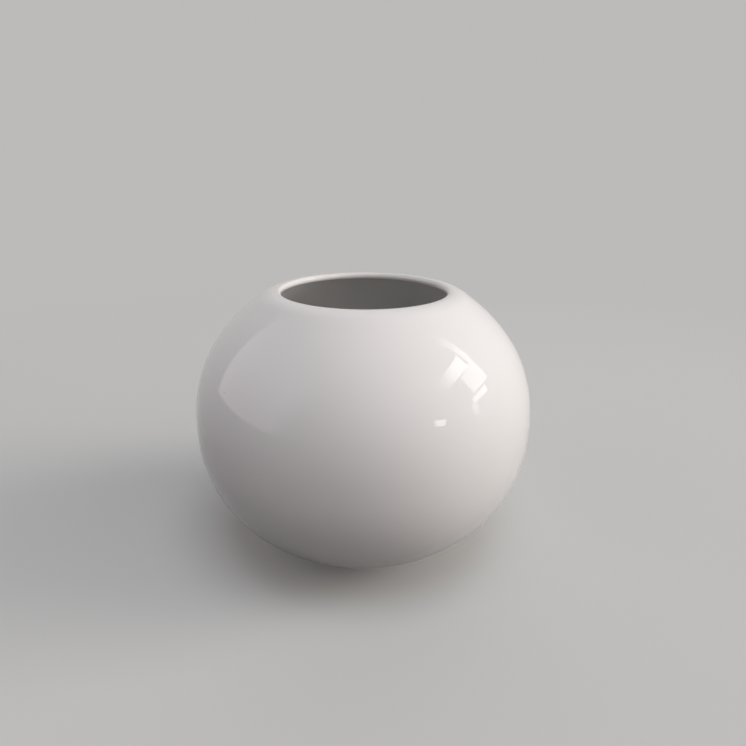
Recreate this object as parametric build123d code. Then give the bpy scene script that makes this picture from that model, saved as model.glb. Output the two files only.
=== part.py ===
from build123d import *
import os
from math import cos, radians, sin

# White globe jar of the moon-jar form, in millimetres.
# +Z is up, and the origin is on the axis, at the level of the surface that the jar stands on.
# The jar is made as a potter makes it: two thrown bowls are luted rim to rim at the belly with slip,
# a lip ring and a foot ring are luted on, and a glaze coat covers all but the standing ring.
# Every piece is a section in the XZ-plane, turned about the axis.

# Driving dimensions: the whole jar
BELLY_DIAMETER = 200.0  # widest place, over the glaze
BELLY_HEIGHT = 86.0  # level of the widest place, where the two bowls meet
OVERALL_HEIGHT = 162.0  # crown of the lip, over the glaze
MOUTH_DIAMETER = 95.3  # clear opening inside the lip, over the glaze

# Driving dimensions: wall, floor and glaze
CLAY_WALL = 4.5  # at the belly
LIP_WALL = 3.1  # at the mouth, where the wall ends in a round edge
FLOOR_THICKNESS = 7.0
FLOOR_RADIUS = 24.0  # flat middle of the floor
GLAZE = 0.5  # one coat

# Driving dimensions: luted joints
SLIP = 0.8  # thickness of the slip in a joint
TONGUE_DEPTH = 1.8
TONGUE_SHARE = 0.5  # width of the tongue, as a share of the wall that it is in

# Driving dimensions: lip ring and foot ring
LIP_RING_DEPTH = 6.0  # wall that belongs to the lip ring, below its crown
CROWN_RADIUS = 17.4  # round of the lip ring, which ends level at the mouth, over the glaze
FOOT_DIAMETER = 88.0  # at the joint with the bowl
FOOT_HEIGHT = 5.0  # underside of the bowl
FOOT_WIDTH = 9.0  # ring at the joint with the bowl
FOOT_TAPER = 1.2  # each side, from the joint to the standing face
FOOT_EDGE = 0.8  # rounding of the standing face
GLAZE_STOP = 1.8  # the glaze is wiped off below this level

# Shape of the wall: slopes in degrees, and fullness as shares of each curve's own height and width
LIP_SLOPE = 35.0
FOOT_SLOPE = 28.0
SHOULDER_RISE = 0.455
SHOULDER_REACH = 0.635
HIP_REACH = 0.60
HIP_DROP = 0.50
INSIDE_REACH = 0.60
INSIDE_DROP = 0.52

UP = Vector(0, 0, 1)
DOWN = Vector(0, 0, -1)
TOUCHING = 1e-6  # ends of a section's lines that are nearer than this meet


def place(radius, height):
    """Point of the section at this distance from the axis and this height."""
    return Vector(radius, 0, height)


def heading(degrees):
    """Unit vector in the section, measured from +X towards +Z."""
    return place(cos(radians(degrees)), sin(radians(degrees)))


def beside(curve, distance):
    """Control points of the curve that runs at this distance to the left of a curve that runs upwards.

    Each leg of the control polygon is moved sideways, and the moved legs meet in the new corners.
    """
    legs = []
    for start, end in zip(curve, curve[1:]):
        along = (end - start).normalized()
        left = place(-along.Z, along.X)
        legs.append((start + left * distance, along, end + left * distance))
    corners = [legs[0][0]]
    for (base, along, _), (other, turn, _) in zip(legs, legs[1:]):
        gap = other - base
        run = (gap.X * turn.Z - gap.Z * turn.X) / (along.X * turn.Z - along.Z * turn.X)
        corners.append(base + along * run)
    corners.append(legs[-1][2])
    return corners


def parted(curve, share):
    """Control points of the two curves that a curve falls into when it is cut at this share."""
    first, second = [], []
    points = list(curve)
    while points:
        first.append(points[0])
        second.insert(0, points[-1])
        points = [start + (end - start) * share for start, end in zip(points, points[1:])]
    return first, second


def upwards(curve):
    return Bezier(*curve)


def downwards(curve):
    return Bezier(*reversed(curve))


def tongue(outer, inner, push):
    """Points across a joint, from the outer face to the inner one, with a tongue in the push direction."""
    middle = (outer + inner) * 0.5
    side = (inner - outer) * (0.5 * TONGUE_SHARE)
    return [outer, middle - side, middle + push * TONGUE_DEPTH, middle + side, inner]


def section(*steps):
    """Face inside a closed line of points and curves, with straight lines between those that don't meet."""
    def first(step):
        return step @ 0 if isinstance(step, Edge) else step

    def last(step):
        return step @ 1 if isinstance(step, Edge) else step

    edges = []
    here = last(steps[-1])
    for step in steps:
        if (first(step) - here).length > TOUCHING:
            edges.append(Line(here, first(step)))
        if isinstance(step, Edge):
            edges.append(step)
        here = last(step)
    return make_face(edges)


def turned(face):
    return revolve(face, Axis.Z)


# Wall of the clay, from the foot up: the lower bowl, the belly and the upper bowl
clay_radius = BELLY_DIAMETER / 2 - GLAZE
inside_radius = clay_radius - CLAY_WALL
belly_low = BELLY_HEIGHT - SLIP / 2
belly_high = BELLY_HEIGHT + SLIP / 2
roll_radius = LIP_WALL / 2
roll_centre = place(MOUTH_DIAMETER / 2 + GLAZE + roll_radius, OVERALL_HEIGHT - GLAZE - roll_radius)
crown_centre = place(roll_centre.X, OVERALL_HEIGHT - CROWN_RADIUS)
crown_outer = CROWN_RADIUS - GLAZE
crown_inner = crown_outer - LIP_WALL
crown_start = 90 - LIP_SLOPE
foot_radius = FOOT_DIAMETER / 2
foot_join = place(foot_radius, FOOT_HEIGHT)
floor_level = FOOT_HEIGHT + FLOOR_THICKNESS

hip_handle = HIP_REACH * (clay_radius - foot_radius) / cos(radians(FOOT_SLOPE))
lower_outer = [
    foot_join,
    foot_join + heading(FOOT_SLOPE) * hip_handle,
    place(clay_radius, belly_low - HIP_DROP * (belly_low - FOOT_HEIGHT)),
    place(clay_radius, belly_low),
]
lower_inner = [
    place(FLOOR_RADIUS, floor_level),
    place(FLOOR_RADIUS + INSIDE_REACH * (inside_radius - FLOOR_RADIUS), floor_level),
    place(inside_radius, belly_low - INSIDE_DROP * (belly_low - floor_level)),
    place(inside_radius, belly_low),
]


def shoulder(radius, crown_radius):
    """Curve of the upper wall, from this radius at the belly to where this round of the crown begins."""
    end = crown_centre + heading(crown_start) * crown_radius
    handle = SHOULDER_REACH * (radius - end.X) / cos(radians(LIP_SLOPE))
    return [
        place(radius, belly_high),
        place(radius, belly_high + SHOULDER_RISE * (end.Z - belly_high)),
        end + heading(-LIP_SLOPE) * handle,
        end,
    ]


upper_outer = shoulder(clay_radius, crown_outer)
upper_inner = shoulder(inside_radius, crown_inner)

# Luted joints: at the belly, below the lip and above the foot
belly_groove = tongue(lower_outer[-1], lower_inner[-1], DOWN)
belly_tongue = tongue(upper_outer[0], upper_inner[0], DOWN)

# Length of the wall at its upper end for each unit of the curve's parameter
curve_speed = 3 * (upper_outer[-1] - upper_outer[-2]).length
lip_cut = 1 - LIP_RING_DEPTH / curve_speed
slip_cut = lip_cut - SLIP / curve_speed
wall_outer, past_wall_outer = parted(upper_outer, slip_cut)
wall_inner, past_wall_inner = parted(upper_inner, slip_cut)
slip_share = (lip_cut - slip_cut) / (1 - slip_cut)
lip_slip_outer, lip_outer = parted(past_wall_outer, slip_share)
lip_slip_inner, lip_inner = parted(past_wall_inner, slip_share)
down_the_wall = (lip_outer[0] - lip_outer[1]).normalized()
lip_groove = tongue(wall_outer[-1], wall_inner[-1], down_the_wall)
lip_tongue = tongue(lip_outer[0], lip_inner[0], down_the_wall)


def foot_side(level, side):
    """Point of the foot ring's side at this level: side is 1 on the outer side and -1 on the inner one."""
    middle = foot_radius - FOOT_WIDTH / 2
    half = FOOT_WIDTH / 2 - FOOT_TAPER * (FOOT_HEIGHT - level) / FOOT_HEIGHT
    return place(middle + side * half, level)


foot_groove = tongue(foot_side(FOOT_HEIGHT, 1), foot_side(FOOT_HEIGHT, -1), UP)
foot_tongue = tongue(foot_side(FOOT_HEIGHT - SLIP, 1), foot_side(FOOT_HEIGHT - SLIP, -1), UP)


def lower_bowl():
    return turned(section(
        place(0, FOOT_HEIGHT),
        *reversed(foot_groove),
        upwards(lower_outer),
        *belly_groove,
        downwards(lower_inner),
        place(0, floor_level),
    ))


def upper_bowl():
    return turned(section(upwards(wall_outer), *lip_groove, downwards(wall_inner), *reversed(belly_tongue)))


def belly_slip():
    return turned(section(*belly_tongue, *reversed(belly_groove)))


def arc(centre, radius, start, end):
    """Arc between two headings from its centre."""
    return ThreePointArc(*(centre + heading(way) * radius for way in (start, (start + end) / 2, end)))


def lip_ring():
    return turned(section(
        upwards(lip_outer),
        arc(crown_centre, crown_outer, crown_start, 90),
        arc(roll_centre, roll_radius, 90, 270),
        arc(crown_centre, crown_inner, 90, crown_start),
        downwards(lip_inner),
        *reversed(lip_tongue),
    ))


def lip_slip():
    return turned(section(
        upwards(lip_slip_outer),
        *lip_tongue,
        downwards(lip_slip_inner),
        *reversed(lip_groove),
    ))


def foot_ring():
    ring = turned(section(foot_side(0, -1), foot_side(0, 1), *foot_tongue))
    return fillet(ring.edges().group_by(Axis.Z)[0], FOOT_EDGE)


def foot_slip():
    return turned(section(*foot_tongue, *reversed(foot_groove)))


def outside_glaze():
    return turned(section(
        foot_side(GLAZE_STOP, 1),
        upwards(lower_outer),
        upwards(upper_outer),
        arc(crown_centre, crown_outer, crown_start, 90),
        arc(crown_centre, CROWN_RADIUS, 90, crown_start),
        downwards(beside(upper_outer, -GLAZE)),
        downwards(beside(lower_outer, -GLAZE)),
        foot_side(GLAZE_STOP, 1) + place(GLAZE, 0),
    ))


def inside_glaze():
    return turned(section(
        place(0, floor_level),
        upwards(lower_inner),
        upwards(upper_inner),
        arc(crown_centre, crown_inner, crown_start, 90),
        arc(roll_centre, roll_radius, 270, 90),
        arc(roll_centre, roll_radius + GLAZE, 90, 270),
        arc(crown_centre, crown_inner - GLAZE, 90, crown_start),
        downwards(beside(upper_inner, GLAZE)),
        downwards(beside(lower_inner, GLAZE)),
        place(0, floor_level + GLAZE),
    ))


def foot_well_glaze():
    corner = foot_side(FOOT_HEIGHT, -1)
    return turned(section(
        foot_side(GLAZE_STOP, -1),
        corner,
        place(0, FOOT_HEIGHT),
        place(0, FOOT_HEIGHT - GLAZE),
        corner - place(GLAZE, GLAZE),
        foot_side(GLAZE_STOP, -1) - place(GLAZE, 0),
    ))


PIECES = (
    lower_bowl,
    upper_bowl,
    belly_slip,
    lip_ring,
    lip_slip,
    foot_ring,
    foot_slip,
    outside_glaze,
    inside_glaze,
    foot_well_glaze,
)

os.makedirs("parts", exist_ok=True)
for piece in PIECES:
    export_step(piece(), f"parts/{piece.__name__}.step")
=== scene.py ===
# %% [markdown]
# # A white moon jar
#
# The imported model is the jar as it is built: two clay bowls luted together, a lip ring, a foot ring, the
# slip in their joints and thin coats of glaze. All of it is in metres, with +Z up and the origin under the
# foot. This lesson dresses it. The clay under the glaze stays as it is. The coats that are seen are
# modelled again as fine meshes, because a glossy round surface shows every facet, and so is the bare ring
# that the jar stands on.

import math

import bpy
from mathutils import Matrix, Quaternion, Vector


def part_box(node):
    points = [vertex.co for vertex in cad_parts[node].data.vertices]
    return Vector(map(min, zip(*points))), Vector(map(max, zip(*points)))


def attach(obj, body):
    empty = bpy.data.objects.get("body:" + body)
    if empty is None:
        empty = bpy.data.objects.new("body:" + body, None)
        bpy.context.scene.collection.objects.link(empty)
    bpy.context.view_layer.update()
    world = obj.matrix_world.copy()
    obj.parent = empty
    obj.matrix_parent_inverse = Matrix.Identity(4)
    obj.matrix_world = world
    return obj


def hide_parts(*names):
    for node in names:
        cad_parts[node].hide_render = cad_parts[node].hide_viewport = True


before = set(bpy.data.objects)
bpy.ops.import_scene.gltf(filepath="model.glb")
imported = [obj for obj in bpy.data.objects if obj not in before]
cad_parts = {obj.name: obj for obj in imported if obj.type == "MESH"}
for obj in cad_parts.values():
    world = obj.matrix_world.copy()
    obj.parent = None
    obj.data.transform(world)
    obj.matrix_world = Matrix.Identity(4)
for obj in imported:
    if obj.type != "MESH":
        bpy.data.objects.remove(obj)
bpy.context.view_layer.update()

# %% [markdown]
# ## Measuring the jar
#
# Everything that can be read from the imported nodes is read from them: a node's box gives its levels and its
# outer radius, and the least radius of its points gives a hole.

# %% Sizes from the frame
def least_radius(node):
    """Distance from the axis to the nearest of a node's points."""
    return min(math.hypot(v.co.x, v.co.y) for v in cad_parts[node].data.vertices)


belly_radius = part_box("outside_glaze")[1].x
clay_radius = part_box("upper_bowl")[1].x
inside_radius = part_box("inside_glaze")[1].x
glaze = belly_radius - clay_radius
belly_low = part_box("lower_bowl")[1].z
belly_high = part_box("belly_slip")[1].z
belly_level = (belly_low + belly_high) / 2
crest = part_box("inside_glaze")[1].z
mouth_radius = least_radius("lip_ring") - glaze
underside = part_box("lower_bowl")[0].z
floor_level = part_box("inside_glaze")[0].z
foot_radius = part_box("foot_slip")[1].x
foot_inside = least_radius("foot_slip")
glaze_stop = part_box("outside_glaze")[0].z

print(f"glaze {glaze * 1000:.2f} mm, mouth {mouth_radius * 2000:.1f} mm, crest {crest * 1000:.1f} mm")

# %% [markdown]
# Only what a box can't tell is written down: how thin the wall is at the mouth, the round of the lip ring,
# the flat middle of the floor, how much the foot draws in, the slopes in degrees, and the fullness of the
# wall's curves. A fullness is how far a curve's handle reaches, as a share of the curve's own height or
# width.

# %% The shape of the wall
LIP_WALL = 0.0031
CROWN_RADIUS = 0.0174
LIP_SLOPE = 35.0
FOOT_SLOPE = 28.0
SHOULDER_RISE = 0.455
SHOULDER_REACH = 0.635
HIP_REACH = 0.60
HIP_DROP = 0.50
INSIDE_REACH = 0.60
INSIDE_DROP = 0.52
FLOOR_RADIUS = 0.024
FOOT_TAPER = 0.0012

print(f"clay at the mouth {LIP_WALL * 1000:.1f} mm, round of the lip ring {CROWN_RADIUS * 1000:.1f} mm")

# %% [markdown]
# ## The line of the wall
#
# The section of the jar is one line from the foot, up the outside, over the lip and down the inside to the
# middle of the floor. It is made of four Bezier curves, two arcs that turn the shoulder level at the mouth,
# and the half circle of the lip's edge. A coat of glaze lies on the clay at an even thickness, so the
# glazed line runs beside the clay's line: each leg of a curve's control polygon is moved sideways, and the
# moved legs meet in the new corners.

# %% Headings, arcs and curves
def heading(degrees):
    """Unit vector that is turned this far from the first axis towards the second."""
    return Vector((math.cos(math.radians(degrees)), math.sin(math.radians(degrees))))


def arc(centre, radius, start, end, steps):
    """Points on an arc, between two headings from its centre."""
    return [centre + heading(start + (end - start) * step / steps) * radius for step in range(steps + 1)]


def beside(curve, distance):
    """The curve that runs at this distance to the left of a curve that runs upwards."""
    legs = []
    for start, end in zip(curve, curve[1:]):
        along = (end - start).normalized()
        left = Vector((-along.y, along.x)) * distance
        legs.append((start + left, along, end + left))
    corners = [legs[0][0]]
    for (base, along, _), (other, turn, _) in zip(legs, legs[1:]):
        gap = other - base
        corners.append(base + along * (gap.cross(turn) / along.cross(turn)))
    return [*corners, legs[-1][2]]


def along_curve(curve, steps):
    """Points on a curve, from its first end to its last."""
    points = []
    for step in range(steps + 1):
        level = list(curve)
        while len(level) > 1:
            level = [start.lerp(end, step / steps) for start, end in zip(level, level[1:])]
        points.append(level[0])
    return points


# %% The lip's two rounds
roll_radius = LIP_WALL / 2
roll_centre = Vector((mouth_radius + glaze + roll_radius, crest - glaze - roll_radius))
crown_centre = Vector((roll_centre.x, crest - CROWN_RADIUS))
crown_outer = CROWN_RADIUS - glaze
crown_inner = crown_outer - LIP_WALL
crown_start = 90 - LIP_SLOPE
print("the lip's edge rounds about", tuple(round(v, 4) for v in roll_centre))

# %% Curves of the clay, from the foot up
foot_join = Vector((foot_radius, underside))
hip_handle = HIP_REACH * (clay_radius - foot_radius) / math.cos(math.radians(FOOT_SLOPE))
lower_outer = [
    foot_join,
    foot_join + heading(FOOT_SLOPE) * hip_handle,
    Vector((clay_radius, belly_low - HIP_DROP * (belly_low - underside))),
    Vector((clay_radius, belly_low)),
]
lower_inner = [
    Vector((FLOOR_RADIUS, floor_level)),
    Vector((FLOOR_RADIUS + INSIDE_REACH * (inside_radius - FLOOR_RADIUS), floor_level)),
    Vector((inside_radius, belly_low - INSIDE_DROP * (belly_low - floor_level))),
    Vector((inside_radius, belly_low)),
]


def shoulder(radius, crown_radius):
    """The upper wall, from this radius at the belly to where this round of the crown begins."""
    end = crown_centre + heading(crown_start) * crown_radius
    handle = SHOULDER_REACH * (radius - end.x) / math.cos(math.radians(LIP_SLOPE))
    rise = SHOULDER_RISE * (end.y - belly_high)
    return [
        Vector((radius, belly_high)),
        Vector((radius, belly_high + rise)),
        end + heading(-LIP_SLOPE) * handle,
        end,
    ]


upper_outer = shoulder(clay_radius, crown_outer)
upper_inner = shoulder(inside_radius, crown_inner)
print("the shoulder meets the crown at", tuple(round(v, 4) for v in upper_outer[-1]))

# %% [markdown]
# ## The glaze coat
#
# On the real jar the glaze is one unbroken glassy skin, from a soft edge on the foot, over the lip and down
# to the floor. It could be two coats, outside and inside, but a border on the crest of the lip would show
# as a line in the gloss. So the whole coat is one closed section, spun about the axis as on a potter's
# wheel. The section starts as a plane that is merged to one point, and the point is drawn along the line
# of the wall.

# %% Drawing a section and spinning it
SPIN_STEPS = 192
MERGE_DISTANCE = 1e-6


def spun_piece(name, section):
    """A closed solid: the section, a list of points (radius, height), is drawn and spun about the axis."""
    bpy.ops.object.select_all(action="DESELECT")
    bpy.ops.mesh.primitive_plane_add(size=glaze, location=(0, 0, 0))
    piece = bpy.context.object
    piece.name = name
    piece.data.name = name
    bpy.ops.object.mode_set(mode="EDIT")
    bpy.ops.mesh.merge(type="CENTER")
    bpy.ops.transform.translate(value=(section[0].x, 0, section[0].y))
    for here, there in zip(section, section[1:]):
        move = (there.x - here.x, 0, there.y - here.y)
        bpy.ops.mesh.extrude_vertices_move(TRANSFORM_OT_translate={"value": move})
    bpy.ops.mesh.select_all(action="SELECT")
    bpy.ops.mesh.spin(steps=SPIN_STEPS, angle=math.tau, center=(0, 0, 0), axis=(0, 0, 1))
    bpy.ops.mesh.select_all(action="SELECT")
    bpy.ops.mesh.remove_doubles(threshold=MERGE_DISTANCE)
    bpy.ops.mesh.normals_make_consistent(inside=False)
    bpy.ops.object.mode_set(mode="OBJECT")
    bpy.ops.object.shade_smooth()
    print(name, "has", len(piece.data.vertices), "points and", len(piece.data.polygons), "faces")
    return piece


# %% [markdown]
# The seen side of the coat runs from the middle of the floor, up the inside, over the lip and down to the
# foot. There it ends in a rounded edge, and the section goes back along the clay. That side is hidden, so
# it needs only half the steps.

# %% The coat
WALL_STEPS = 40
CROWN_STEPS = 12
ROLL_STEPS = 28
EDGE_STEPS = 6
HIDDEN_DETAIL = 0.5


def wall_line(cover, detail=1.0):
    """The line from the foot to the floor's middle, this far off the clay and at this share of detail."""
    wall, crown, roll = (int(steps * detail) for steps in (WALL_STEPS, CROWN_STEPS, ROLL_STEPS))
    return [
        *along_curve(beside(lower_outer, -cover), wall),
        *along_curve(beside(upper_outer, -cover), wall),
        *arc(crown_centre, crown_outer + cover, crown_start, 90, crown)[1:],
        *arc(roll_centre, roll_radius + cover, 90, 270, roll)[1:-1],
        *arc(crown_centre, crown_inner - cover, 90, crown_start, crown)[:-1],
        *reversed(along_curve(beside(upper_inner, cover), wall)),
        *reversed(along_curve(beside(lower_inner, cover), wall)),
        Vector((0, floor_level + cover)),
    ]


def foot_side(level, side):
    """Point of the foot ring's tapered side: side is 1 on the outer side and -1 on the inner one."""
    middle = (foot_radius + foot_inside) / 2
    half = (foot_radius - foot_inside) / 2 - FOOT_TAPER * (underside - level) / underside
    return Vector((middle + side * half, level))


def coat_section():
    edge_centre = foot_side(glaze_stop, 1) + Vector((0, glaze))
    rounded_edge = arc(edge_centre, glaze, 0, -90, EDGE_STEPS)
    return [*reversed(wall_line(glaze)), *rounded_edge, *wall_line(0, HIDDEN_DETAIL)]


glaze_coat = spun_piece("glaze_coat", coat_section())
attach(glaze_coat, "root")
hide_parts("outside_glaze", "inside_glaze")

# %% [markdown]
# ## The glazed well under the floor
#
# Under the floor, inside the foot ring, the real jar is glazed too. The coat lies flat on the clay and
# pools in the corner, so the corner is rounded, and it ends in the same soft edge. A flat disc could stand
# in for it, but its edge would be sharp, so it is drawn and spun like the other coat.

# %% The well's coat
POOL_RADIUS = 0.0016


def well_section():
    ceiling = underside - glaze
    corner = foot_side(underside, -1) - Vector((glaze, glaze))
    pool_centre = corner - Vector((POOL_RADIUS, POOL_RADIUS))
    edge_centre = foot_side(glaze_stop, -1) + Vector((0, glaze))
    return [
        Vector((0, ceiling)),
        Vector((FLOOR_RADIUS, ceiling)),
        *arc(pool_centre, POOL_RADIUS, 90, 0, EDGE_STEPS),
        *arc(edge_centre, glaze, 180, 270, EDGE_STEPS),
        foot_side(underside, -1),
        Vector((0, underside)),
    ]


well_coat = spun_piece("well_coat", well_section())
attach(well_coat, "root")
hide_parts("foot_well_glaze")

# %% [markdown]
# ## The bare foot ring
#
# The ring that the jar stands on is wiped clean of glaze, so the fired clay shows. It was trimmed on the
# wheel with a metal loop, which leaves fine rings on it. They could be a bump in the material, but they are
# real grooves, so they are drawn into the section.

# %% The foot's section, with trimming grooves on the standing face
GROOVE_PITCH = 0.0009
GROOVE_DEPTH = 0.00008
FOOT_EDGE = 0.0008
GROOVE_STEPS = 8


def foot_section():
    inner, outer = foot_side(0, -1).x, foot_side(0, 1).x
    groove_count = int((outer - inner - 2 * FOOT_EDGE) / GROOVE_PITCH)
    start = (inner + outer - groove_count * GROOVE_PITCH) / 2
    face = []
    for step in range(groove_count * GROOVE_STEPS + 1):
        share = step / GROOVE_STEPS
        lift = GROOVE_DEPTH * (1 - math.cos(math.tau * share)) / 2
        face.append(Vector((start + share * GROOVE_PITCH, lift)))
    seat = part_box("foot_slip")[0].z
    return [
        foot_side(seat, -1),
        *arc(Vector((inner + FOOT_EDGE, FOOT_EDGE)), FOOT_EDGE, 180, 270, EDGE_STEPS),
        *face,
        *arc(Vector((outer - FOOT_EDGE, FOOT_EDGE)), FOOT_EDGE, 270, 360, EDGE_STEPS),
        foot_side(seat, 1),
        foot_side(seat, -1),
    ]


bare_foot = spun_piece("bare_foot", foot_section())
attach(bare_foot, "root")
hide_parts("foot_ring")

# %% [markdown]
# ## Writing shader maths as Python
#
# A material is a tree of nodes, and most of them do arithmetic. Each could be added and linked by lines of
# its own, but a short mask would then fill a page. Here a socket is wrapped in a small class whose
# operators add Math nodes, so that a mask reads as a formula. Colours are mixed by Mix nodes. The same
# recipe serves materials, the world and lamps, because each of them owns such a tree.

# %% Values that can be calculated with
class Value:
    """An output socket of a recipe's node."""

    def __init__(self, recipe, socket):
        self.recipe = recipe
        self.socket = socket

    def math(self, operation, *others):
        sockets = dict(enumerate((self, *others)))
        return self.recipe.node("ShaderNodeMath", {"operation": operation}, sockets)

    def __add__(self, other):
        return self.math("ADD", other)

    __radd__ = __add__

    def __mul__(self, other):
        return self.math("MULTIPLY", other)

    __rmul__ = __mul__

    def __sub__(self, other):
        return self.math("SUBTRACT", other)

    def __rsub__(self, other):
        return (self * -1) + other

    def __truediv__(self, other):
        return self.math("DIVIDE", other)

    def __pow__(self, other):
        return self.math("POWER", other)

    def fade(self, start, end):
        """A smooth step from 0 at start to 1 at end."""
        sockets = {"Value": self, "From Min": start, "From Max": end, "To Min": 0.0, "To Max": 1.0}
        return self.recipe.node("ShaderNodeMapRange", {"interpolation_type": "SMOOTHSTEP"}, sockets)


# %% A recipe of nodes
class Recipe:
    """The tree of nodes of a material, world or lamp, which starts empty."""

    def __init__(self, owner):
        owner.use_nodes = True
        self.tree = owner.node_tree
        self.tree.nodes.clear()

    def node(self, kind, settings=None, sockets=None, out=0):
        """Adds a node: its settings are set first, then its sockets are given values or links."""
        made = self.tree.nodes.new(kind)
        for key, value in (settings or {}).items():
            setattr(made, key, value)
        for key, value in (sockets or {}).items():
            if isinstance(value, Value):
                self.tree.links.new(value.socket, made.inputs[key])
            else:
                made.inputs[key].default_value = value
        return Value(self, made.outputs[out]) if made.outputs else None

    def mix(self, share, first, second):
        """A colour between two colours, each (r, g, b, 1) or a value.

        A Mix node counts the sockets of all its data types, and the colours' own are 6, 7 and output 2.
        """
        return self.node("ShaderNodeMix", {"data_type": "RGBA"}, {0: share, 6: first, 7: second}, 2)

    def noise(self, place, scale, detail=2.0):
        return self.node("ShaderNodeTexNoise", None, {"Vector": place, "Scale": scale, "Detail": detail})

    def bump(self, height, distance, below=None):
        sockets = {"Strength": 1.0, "Distance": distance, "Height": height}
        if below:
            sockets["Normal"] = below
        return self.node("ShaderNodeBump", None, sockets)

    def jar_place(self):
        """The place on the jar, its distance from the axis and its height."""
        place = self.node("ShaderNodeTexCoord", out="Object")
        x, y, height = (self.node("ShaderNodeSeparateXYZ", None, {"Vector": place}, axis) for axis in "XYZ")
        return place, (x * x + y * y) ** 0.5, height


def dress(piece, material):
    piece.data.materials.clear()
    piece.data.materials.append(material)


# %% [markdown]
# ## White glaze
#
# The glaze is an opaque white glass: clean gloss over a dense body. On the real one the tone is never quite
# even. It is thin and a little warm where it has run off the crest of the lip, thicker and cooler where it
# pools above the foot, and it has a few pinholes. Inside the jar it is painted a touch greyer, as painted
# shade in the hollow, and the pinholes are painted dark, as painted shade in their pits. Its surface is wavy
# by hundredths of a millimetre, which only shows in how reflections bend. A picture could be wrapped round
# the jar for this, but the places follow from the jar's own shape, so masks are worked out from radius and
# height.

# %% Where the glaze is thin or pierced, and where the inside gets painted shade
# The wall's middle is close to an egg, whose formula gives about 1 there, more outside and less inside
WALL_MIDDLE_RADIUS = (belly_radius + inside_radius - glaze) / 2
WALL_MIDDLE_HEIGHT = 0.0865
# The painted shade inside the jar sets in over this range of the egg's formula
INSIDE_SHADE_FADE = (1.035, 1.005)

# Distances from the middle of the lip's round edge
LIP_FADE = (0.0034, 0.0016)

# Each pinhole's bearing in degrees and its height
PINHOLES = ((221.2, 0.1221), (56.6, 0.115), (107.9, 0.070), (21.0, 0.056), (150.0, 0.045))
PINHOLE_RADIUS = 0.00035


def outside_place(bearing, height):
    """Point on the outside of the coat at this bearing, in degrees, and this height."""
    line = wall_line(glaze)
    low, high = next(pair for pair in zip(line, line[1:]) if pair[0].y <= height <= pair[1].y)
    radius = low.lerp(high, (height - low.y) / (high.y - low.y)).x
    return (*heading(bearing) * radius, height)


def inside_shade_mask(radius, height):
    """1 within the wall's middle, on the inside of the jar, which is painted greyer as shade."""
    egg = (radius / WALL_MIDDLE_RADIUS) ** 2 + ((height - belly_level) / WALL_MIDDLE_HEIGHT) ** 2
    return egg.fade(*INSIDE_SHADE_FADE)


def lip_mask(radius, height):
    """1 on the lip's round edge."""
    away = ((radius - roll_centre.x) ** 2 + (height - roll_centre.y) ** 2) ** 0.5
    return away.fade(*LIP_FADE)


def pinhole_mask(recipe, place):
    """1 in each pinhole, where the pit is dented, made rough and painted dark as painted shade."""
    mask = 0
    for bearing, height in PINHOLES:
        ends = {0: place, 1: outside_place(bearing, height)}
        away = recipe.node("ShaderNodeVectorMath", {"operation": "DISTANCE"}, ends, "Value")
        mask = away.fade(PINHOLE_RADIUS, PINHOLE_RADIUS / 2) + mask
    return mask


print(len(PINHOLES), "pinholes,", f"{PINHOLE_RADIUS * 2000:.1f} mm across")

# %% The glaze's colours
GLAZE_WHITE = (0.80, 0.765, 0.755, 1)
GLAZE_THIN = (0.72, 0.68, 0.66, 1)
GLAZE_POOLED = (0.75, 0.735, 0.73, 1)
# Painted shade: the inside of the jar, a touch greyer than the outside
GLAZE_INSIDE_SHADE = (0.765, 0.750, 0.735, 1)
# Painted shade: the dark colour inside each pinhole's pit
PINHOLE_SHADE = (0.22, 0.19, 0.17, 1)
THIN_SHARE = 0.9
POOL_TOP = 0.016
POOL_SHARE = 0.6
CLOUD_SCALE = 14.0
CLOUD_FADE = (0.35, 0.75)
CLOUD_SHARE = 0.15


def glaze_colour(recipe, place, radius, height, pinhole):
    # inside is 1 where the inside of the jar gets its painted shade
    inside = inside_shade_mask(radius, height)
    pooled = height.fade(POOL_TOP, underside)
    cloud = recipe.noise(place, CLOUD_SCALE).fade(*CLOUD_FADE)
    # The inside of the jar is painted greyer, as painted shade
    colour = recipe.mix(inside, GLAZE_WHITE, GLAZE_INSIDE_SHADE)
    colour = recipe.mix(pooled * POOL_SHARE, colour, GLAZE_POOLED)
    colour = recipe.mix(lip_mask(radius, height) * THIN_SHARE, colour, GLAZE_THIN)
    colour = recipe.mix(cloud * CLOUD_SHARE, colour, GLAZE_POOLED)
    # Each pinhole is painted dark, as painted shade in its pit
    return recipe.mix(pinhole, colour, PINHOLE_SHADE)


# %% The glaze's recipe
GLAZE_IOR = 1.52
GLAZE_ROUGHNESS = 0.012
SMUDGE_ROUGHNESS = 0.02
SMUDGE_SCALE = 38.0
SMUDGE_DETAIL = 4.0
SMUDGE_FADE = (0.45, 0.75)
PINHOLE_ROUGHNESS = 0.3
PINHOLE_DEPTH = 0.00012
WAVE_SCALE = 24.0
WAVE_DETAIL = 1.0
WAVE_HEIGHT = 0.00005


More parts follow.
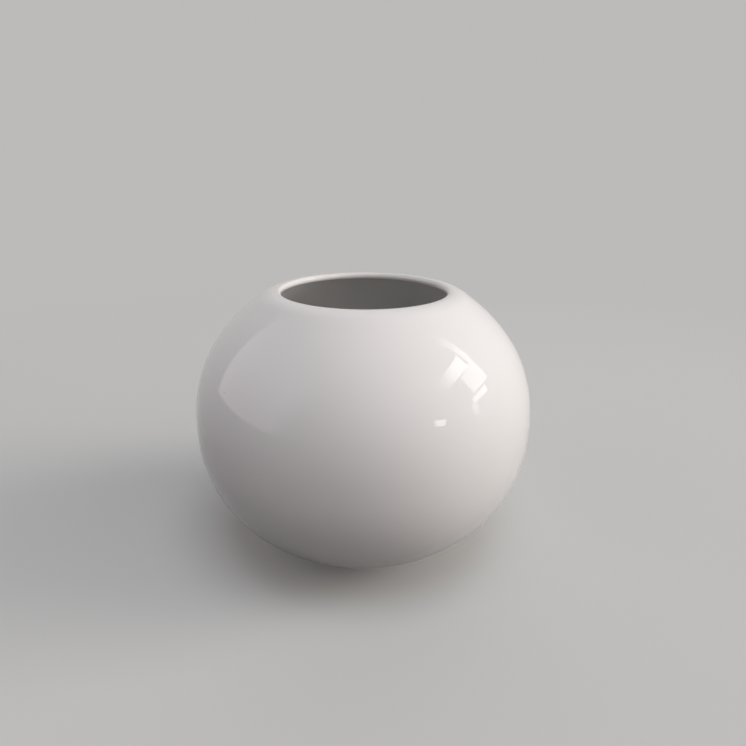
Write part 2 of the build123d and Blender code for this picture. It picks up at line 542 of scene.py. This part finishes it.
def glaze_material():
    material = bpy.data.materials.new("white_glaze")
    recipe = Recipe(material)
    place, radius, height = recipe.jar_place()
    pinhole = pinhole_mask(recipe, place)
    colour = glaze_colour(recipe, place, radius, height, pinhole)
    smudge = recipe.noise(place, SMUDGE_SCALE, SMUDGE_DETAIL).fade(*SMUDGE_FADE)
    roughness = smudge * SMUDGE_ROUGHNESS + pinhole * PINHOLE_ROUGHNESS + GLAZE_ROUGHNESS
    waves = recipe.bump(recipe.noise(place, WAVE_SCALE, WAVE_DETAIL), WAVE_HEIGHT)
    surface = recipe.bump(1 - pinhole, PINHOLE_DEPTH, waves)
    finish = {"Base Color": colour, "Roughness": roughness, "IOR": GLAZE_IOR, "Normal": surface}
    shader = recipe.node("ShaderNodeBsdfPrincipled", None, finish)
    recipe.node("ShaderNodeOutputMaterial", None, {"Surface": shader})
    return material


white_glaze = glaze_material()
dress(glaze_coat, white_glaze)
dress(well_coat, white_glaze)
print("glaze has", len(white_glaze.node_tree.nodes), "nodes")

# %% [markdown]
# ## Fired clay and slip
#
# Bare clay is matte and a little warm, with fine grains and rings from the wheel. Near the glaze it is
# toasted by the kiln, and where it stands it is scuffed. The slip in the joints is the same clay, a little
# darker. Only the foot shows it, but every clay node gets its finish. An even colour would do for what
# is hidden, but one recipe serves them all.

# %% The clay's colours
CLAY_PALE = (0.74, 0.69, 0.62, 1)
CLAY_TOASTED = (0.62, 0.50, 0.38, 1)
CLAY_GRAIN = (0.50, 0.43, 0.36, 1)
CLAY_SCUFF = (0.42, 0.40, 0.38, 1)
SLIP_PALE = (0.66, 0.61, 0.54, 1)
TOAST_START = 0.0004
TOAST_FADE = (0.3, 0.7)
TOAST_SHARE = 0.7
SCUFF_TOP = 0.0003
SCUFF_FADE = (0.5, 0.7)
SCUFF_SHARE = 0.5
GRAIN_FADE = (0.6, 0.75)
GRAIN_SHARE = 0.5


def clay_colour(recipe, pale, height, grain, patch):
    toasted = height.fade(TOAST_START, glaze_stop) * patch.fade(*TOAST_FADE)
    scuffed = height.fade(SCUFF_TOP, 0.0) * patch.fade(*SCUFF_FADE)
    colour = recipe.mix(toasted * TOAST_SHARE, pale, CLAY_TOASTED)
    colour = recipe.mix(grain.fade(*GRAIN_FADE) * GRAIN_SHARE, colour, CLAY_GRAIN)
    return recipe.mix(scuffed * SCUFF_SHARE, colour, CLAY_SCUFF)


# %% The clay's recipe
GRAIN_SCALE = 1400.0
GRAIN_HEIGHT = 0.00008
PATCH_SCALE = 60.0
CLAY_DETAIL = 3.0
CLAY_ROUGHNESS = 0.72
PATCH_ROUGHNESS = 0.15
WHEEL_RING_PITCH = 0.0007
WHEEL_RING_HEIGHT = 0.00002
WHEEL_RING_WANDER = 4.0


def clay_material(name, pale):
    material = bpy.data.materials.new(name)
    recipe = Recipe(material)
    place, radius, height = recipe.jar_place()
    grain = recipe.noise(place, GRAIN_SCALE, CLAY_DETAIL)
    patch = recipe.noise(place, PATCH_SCALE, CLAY_DETAIL)
    rings = (radius * (math.tau / WHEEL_RING_PITCH) + patch * WHEEL_RING_WANDER).math("SINE")
    colour = clay_colour(recipe, pale, height, grain, patch)
    roughness = patch * PATCH_ROUGHNESS + CLAY_ROUGHNESS
    tooth = recipe.bump(grain, GRAIN_HEIGHT)
    surface = recipe.bump(rings, WHEEL_RING_HEIGHT, tooth)
    finish = {"Base Color": colour, "Roughness": roughness, "Normal": surface}
    shader = recipe.node("ShaderNodeBsdfPrincipled", None, finish)
    recipe.node("ShaderNodeOutputMaterial", None, {"Surface": shader})
    return material


fired_clay = clay_material("fired_clay", CLAY_PALE)
fired_slip = clay_material("fired_slip", SLIP_PALE)
dress(bare_foot, fired_clay)
for name in ("lower_bowl", "upper_bowl", "lip_ring"):
    dress(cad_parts[name], fired_clay)
for name in ("belly_slip", "lip_slip", "foot_slip"):
    dress(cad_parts[name], fired_slip)
print("clay has", len(fired_clay.node_tree.nodes), "nodes")

# %% [markdown]
# ## Floor and room
#
# The jar stands on a plain pale floor without an edge. A pale floor would throw so much light up that the
# underside of the jar went flat, so the floor is pale only to the camera and in reflections, and dark to
# the light that bounces. Near the jar it is a matte surface that takes the jar's shadow. Further out, by
# distance from the jar's axis, it goes over into its own even tone, and the room behind it has the same
# tone, so that no horizon shows.

# %% The floor
FLOOR_SIZE = 60.0
FLOOR_PALE = (0.57, 0.565, 0.555, 1)
FLOOR_DARK = (0.03, 0.03, 0.03, 1)
FLOOR_TONE = (0.50, 0.495, 0.485, 1)
EVEN_FROM = 0.35
EVEN_TO = 0.95


def seen_directly(recipe):
    """1 for a ray from the camera, a reflection or clear glass, and 0 for light that bounces."""
    kinds = ("Is Camera Ray", "Is Glossy Ray", "Is Transmission Ray")
    camera, glossy, clear = (recipe.node("ShaderNodeLightPath", out=kind) for kind in kinds)
    return camera.math("MAXIMUM", glossy).math("MAXIMUM", clear)


def floor_material():
    material = bpy.data.materials.new("pale_floor")
    recipe = Recipe(material)
    _, radius, _ = recipe.jar_place()
    seen = seen_directly(recipe)
    colour = recipe.mix(seen, FLOOR_DARK, FLOOR_PALE)
    matte = recipe.node("ShaderNodeBsdfDiffuse", None, {"Color": colour})
    even = recipe.node("ShaderNodeEmission", None, {"Color": FLOOR_TONE, "Strength": 1.0})
    share = radius.fade(EVEN_FROM, EVEN_TO) * seen
    shader = recipe.node("ShaderNodeMixShader", None, {0: share, 1: matte, 2: even})
    recipe.node("ShaderNodeOutputMaterial", None, {"Surface": shader})
    return material


bpy.ops.object.select_all(action="DESELECT")
bpy.ops.mesh.primitive_plane_add(size=FLOOR_SIZE, location=(0, 0, 0))
studio_floor = bpy.context.object
studio_floor.name = "studio_floor"
dress(studio_floor, floor_material())
print("floor is", FLOOR_SIZE, "m wide")

# %% The room
ROOM_LIGHT = (0.08, 0.08, 0.08, 1)

room = bpy.data.worlds.new("room")
bpy.context.scene.world = room
room_recipe = Recipe(room)
room_colour = room_recipe.mix(seen_directly(room_recipe), ROOM_LIGHT, FLOOR_TONE)
room_shader = room_recipe.node("ShaderNodeBackground", None, {"Color": room_colour, "Strength": 1.0})
room_recipe.node("ShaderNodeOutputWorld", None, {"Surface": room_shader})
print("room light", ROOM_LIGHT[:3])

# %% [markdown]
# ## Lamps
#
# A glossy white jar shows its form in two ways: by how the light falls off over it, and by what it mirrors.
# One set of lamps could do both, but a window that is bright enough to light the jar burns out its own
# reflection. So the window is made twice, as crisp panels that are mirrored and as a soft lamp that only
# lights. Each lamp is described as it is seen from the jar: its bearing, its elevation, and how many
# degrees it spans. A lamp that fades has a recipe of its own, which dims it along its width or height.

# %% An area lamp that faces the jar
LAMP_DISTANCE = 10.0
AIM = Vector((0, 0, 0.10))

# An area lamp of one square metre needs this power for a radiance of 1
POWER_PER_AREA = 4


def lamp(name, place, span, radiance, colour, shows=False, fades=(), leans=0):
    """An area lamp at a bearing, counted from +X towards +Y, and an elevation, all in degrees.

    A lamp that fades is dimmed along its own X or Y, from its full light at one share to none at another.
    A lamp that leans is turned in its own plane, by degrees.
    """
    data = bpy.data.lights.new(name, "AREA")
    data.shape = "RECTANGLE"
    data.size, data.size_y = (2 * LAMP_DISTANCE * math.tan(math.radians(angle / 2)) for angle in span)
    data.energy = POWER_PER_AREA * radiance * data.size * data.size_y
    data.color = colour
    if fades:
        recipe = Recipe(data)
        across = recipe.node("ShaderNodeNewGeometry", out="Parametric")
        strength = 1
        for axis, full, none in fades:
            share = recipe.node("ShaderNodeSeparateXYZ", None, {"Vector": across}, axis)
            strength = share.fade(none, full) * strength
        light = recipe.node("ShaderNodeEmission", None, {"Strength": strength})
        recipe.node("ShaderNodeOutputLight", None, {"Surface": light})
    made = bpy.data.objects.new(name, data)
    bpy.context.scene.collection.objects.link(made)
    bearing, elevation = place
    flat = heading(bearing) * math.cos(math.radians(elevation))
    way = Vector((flat.x, flat.y, math.sin(math.radians(elevation))))
    made.location = AIM + way * LAMP_DISTANCE
    lean = Quaternion((0, 0, 1), math.radians(leans))
    made.rotation_euler = (way.to_track_quat("Z", "Y") @ lean).to_euler()
    made.visible_camera = False
    made.visible_glossy = shows
    print(name, f"is {data.size:.1f} m by {data.size_y:.1f} m")


# %% [markdown]
# The window stands to the right. In the gloss it is two panes, the bright band of a curtain above them, the
# sill, a faint end of the curtain under the sill, and a small window further round to the front. One plain
# panel would do to show that the glaze is glossy, but panels that lean and fade look more like a window.

# %% The window, as it shows in the gloss
DAYLIGHT = (1, 0.98, 0.95)
SKYLIGHT = (0.95, 0.97, 1)

lamp("window_right", place=(1.3, 26.4), span=(17.2, 13.6), radiance=2.2, colour=DAYLIGHT, shows=True)
lamp("window_left", place=(-13.9, 37.5), span=(30.6, 8.4), radiance=3.25, colour=DAYLIGHT, shows=True,
     fades=[("X", 0.8, 0.0)], leans=4)
lamp("curtain", place=(11.6, 45), span=(5.0, 25), radiance=2.0, colour=DAYLIGHT, shows=True,
     fades=[("Y", 0.1, 1.0)], leans=-8)
lamp("sill", place=(-4.0, 16.3), span=(15, 4.0), radiance=2.6, colour=DAYLIGHT, shows=True)
lamp("curtain_end", place=(-12.4, 8.0), span=(4.6, 12.5), radiance=1.5, colour=DAYLIGHT, shows=True,
     fades=[("Y", 0.8, 0.0)])
lamp("small_window", place=(-40.5, 13.0), span=(7.5, 4.6), radiance=3.6, colour=SKYLIGHT, shows=True,
     leans=-15)

# %% [markdown]
# Most of the soft light comes from the window's side. A pale wall on the left is mirrored too, and it fades
# at its edges, because a hard border would run across the gloss. The fills stand for the light that the
# room throws back, and a low light from behind keeps the side away from the picture from going dark. They
# could be one even world light, but then the jar would lose the turn from its bright side to its dim one.

# %% The soft light
ROOM_WHITE = (1, 0.97, 0.95)

lamp("window_light", place=(0, 18.5), span=(26, 20), radiance=6.1, colour=(1, 0.98, 0.90))
lamp("left_wall", place=(190, 32.2), span=(74, 64.4), radiance=0.68, colour=(1, 0.94, 0.99), shows=True,
     fades=[("X", 0.06, 0.0), ("X", 0.7, 1.0), ("Y", 0.05, 0.0), ("Y", 0.4, 1.0)])
lamp("front_fill", place=(-45, 33), span=(60, 54), radiance=0.85, colour=(1, 0.95, 0.91))
lamp("top_fill", place=(-70, 72), span=(32, 26), radiance=2.85, colour=(0.86, 0.93, 1))
lamp("right_fill", place=(-4, 8), span=(58, 10), radiance=3.1, colour=(0.98, 0.92, 0.98))
lamp("back_fill", place=(90, 50), span=(70, 40), radiance=0.2, colour=ROOM_WHITE)
lamp("back_light", place=(103, 8), span=(90, 14), radiance=3.6, colour=ROOM_WHITE)

# %% [markdown]
# ## The camera
#
# The camera stands where the photograph was taken: a short way in front of the jar and above it, with a
# wide lens. It could be placed by eye, but then the outlines wouldn't match, so its place and its three
# turns, in degrees, were found from the outline of the belly and the ellipse of the mouth.

# %% The camera
CAMERA_PLACE = (0, -0.31969, 0.22999)
CAMERA_DOWN = 20.586
CAMERA_RIGHT = 0.980
CAMERA_ROLL = 0.411
PICTURE_SIDE = 746
FOCAL_PIXELS = 560
SENSOR = 36.0
NEAREST_SEEN = 0.01

camera_data = bpy.data.cameras.new("camera")
camera_data.sensor_width = SENSOR
camera_data.lens = SENSOR * FOCAL_PIXELS / PICTURE_SIDE
camera_data.clip_start = NEAREST_SEEN
camera = bpy.data.objects.new("camera", camera_data)
bpy.context.scene.collection.objects.link(camera)
turn = Matrix.Rotation(math.radians(-CAMERA_RIGHT), 4, "Z")
tilt = Matrix.Rotation(math.radians(90 - CAMERA_DOWN), 4, "X")
roll = Matrix.Rotation(math.radians(CAMERA_ROLL), 4, "Z")
camera.matrix_world = Matrix.Translation(CAMERA_PLACE) @ turn @ tilt @ roll
bpy.context.scene.camera = camera
bpy.context.scene.view_settings.view_transform = "Standard"
print(f"lens {camera_data.lens:.2f} mm")
